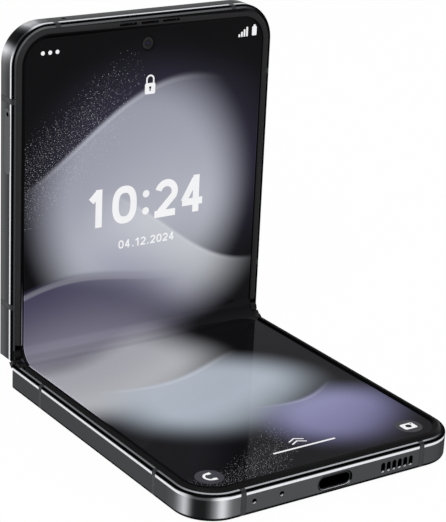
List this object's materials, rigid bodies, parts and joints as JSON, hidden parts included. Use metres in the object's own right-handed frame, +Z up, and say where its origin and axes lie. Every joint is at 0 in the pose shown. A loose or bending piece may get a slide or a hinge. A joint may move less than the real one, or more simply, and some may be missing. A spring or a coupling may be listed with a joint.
{
  "type": "folding smartphone",
  "caption": "Clamshell phone that folds across its screen on a geared hinge, standing half open on its lower half; sprung side keys, card tray that slides out.",
  "frame": {"origin": "middle of the lower half's back face, which lies on the table", "axes": "+X to the phone's right as seen from the front, +Y from the lower half's free end towards the fold, +Z up along the standing upper half"},
  "size_m": [0.0724, 0.0901, 0.0887],
  "materials": {
    "frame_metal": "satin anodised graphite",
    "band_plastic": "moulded graphite",
    "bezel_plastic": "satin black",
    "screen": "glossy flexible screen",
    "cover_glass": "opaque dark glass, satin",
    "lens_glass": "dark coated lens",
    "flash": "frosted pale lens",
    "steel": "machined",
    "black_plastic": "moulded",
    "circuit_board": "solder mask",
    "battery_cell": "foil pouch",
    "copper": "wound flat coil"
  },
  "bodies": {
    "lower_half": {"lower_frame": "frame_metal", "lower_antenna_bands": "band_plastic", "lower_bezel": "bezel_plastic", "lower_display": "screen", "lower_display_plate": "steel", "lower_back_glass": "cover_glass", "lower_battery": "battery_cell", "lower_microphones": "steel", "lower_magnets": "steel", "lower_hinge_arms": "steel", "lower_hinge_screws": "steel", "charging_coil": "copper", "sub_board": "circuit_board", "usb_shell": "steel", "usb_tongue": "black_plastic", "speaker_module": "black_plastic"},
    "spine": {"hinge_cover": "frame_metal", "hinge_end_caps": "bezel_plastic", "hinge_brackets": "steel", "hinge_bracket_screws": "steel", "display_fold_lower": "screen", "display_fold_upper": "screen"},
    "upper_half": {"upper_frame": "frame_metal", "upper_antenna_bands": "band_plastic", "upper_bezel": "bezel_plastic", "upper_display": "screen", "upper_display_plate": "steel", "cover_glass": "cover_glass", "cover_display": "black_plastic", "camera_rings": "frame_metal", "camera_lenses": "lens_glass", "camera_modules": "black_plastic", "flash_lens": "flash", "front_camera": "black_plastic", "front_camera_lens": "lens_glass", "earpiece": "black_plastic", "main_board": "circuit_board", "shield_cans": "steel", "upper_battery": "battery_cell", "vibration_motor": "steel", "sim_reader": "steel", "key_flex": "black_plastic", "upper_microphone": "steel", "upper_magnets": "steel", "upper_hinge_arms": "steel", "upper_hinge_screws": "steel"},
    "gear_1": {"timing_gear_1": "steel"},
    "gear_2": {"timing_gear_2": "steel"},
    "gear_3": {"timing_gear_3": "steel"},
    "gear_4": {"timing_gear_4": "steel"},
    "volume_key": {"volume_key": "frame_metal"},
    "side_key": {"side_key": "frame_metal"},
    "sim_tray": {"sim_tray": "frame_metal"}
  },
  "joints": [
    {"name": "spine_fold", "type": "hinge", "parent": "lower_half", "child": "spine", "pos_m": [0, 0.03938, 0.0054], "axis": [1, 0, 0], "range_deg": [-45, 45], "deforming": ["display_fold_lower"]},
    {"name": "screen_fold", "type": "hinge", "parent": "spine", "child": "upper_half", "pos_m": [0, 0.04206, 0.00809], "axis": [1, 0, 0], "range_deg": [-45, 45], "deforming": ["display_fold_upper"]},
    {"name": "gear_1_spin", "type": "hinge", "parent": "spine", "child": "gear_1", "pos_m": [0, 0.04123, 0.00305], "axis": [1, 0, 0], "range_deg": [-140, 140]},
    {"name": "gear_2_spin", "type": "hinge", "parent": "spine", "child": "gear_2", "pos_m": [0, 0.04229, 0.00411], "axis": [1, 0, 0], "range_deg": [-140, 140]},
    {"name": "gear_3_spin", "type": "hinge", "parent": "spine", "child": "gear_3", "pos_m": [0, 0.04336, 0.00517], "axis": [1, 0, 0], "range_deg": [-140, 140]},
    {"name": "gear_4_spin", "type": "hinge", "parent": "spine", "child": "gear_4", "pos_m": [0, 0.04442, 0.00623], "axis": [1, 0, 0], "range_deg": [-140, 140]},
    {"name": "volume_press", "type": "slide", "parent": "upper_half", "child": "volume_key", "axis": [-1, 0, 0], "range_m": [0, 0.00025], "stiffness_N_per_m": 4000},
    {"name": "side_key_press", "type": "slide", "parent": "upper_half", "child": "side_key", "axis": [-1, 0, 0], "range_m": [0, 0.00025], "stiffness_N_per_m": 4000},
    {"name": "sim_tray_pull", "type": "slide", "parent": "upper_half", "child": "sim_tray", "axis": [-1, 0, 0], "range_m": [0, 0.0205]}
  ],
  "couplings": [
    {"joint": "screen_fold", "follows": "spine_fold", "ratio": 1},
    {"joint": "gear_1_spin", "follows": "spine_fold", "ratio": 3},
    {"joint": "gear_2_spin", "follows": "spine_fold", "ratio": -3},
    {"joint": "gear_3_spin", "follows": "spine_fold", "ratio": 3},
    {"joint": "gear_4_spin", "follows": "spine_fold", "ratio": -3}
  ]
}
